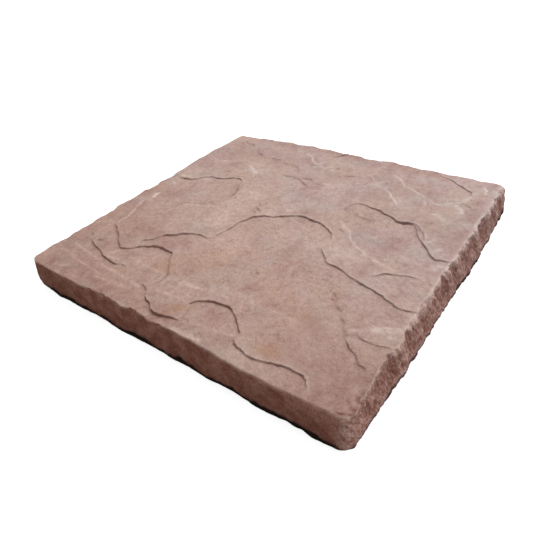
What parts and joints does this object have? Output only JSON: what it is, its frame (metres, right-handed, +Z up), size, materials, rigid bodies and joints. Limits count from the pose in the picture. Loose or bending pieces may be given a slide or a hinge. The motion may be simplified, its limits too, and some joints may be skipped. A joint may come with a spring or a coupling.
{
  "type": "hearthstone",
  "caption": "Square slab of cast stone for a raised hearth or ledge, with a cleft top face, a smooth front side and rock-faced right and back sides.",
  "frame": {"origin": "middle of the bounding box at the bed, the flat underside that rests on mortar or on a floor", "axes": "+X along the longer side, towards the rock-faced right side; +Y from the smooth front side to the back side; +Z up, out of the cleft face"},
  "size_m": [0.508, 0.483, 0.051],
  "materials": {
    "stone": "matte"
  },
  "bodies": {
    "root": {"hearthstone": "stone"}
  },
  "joints": []
}
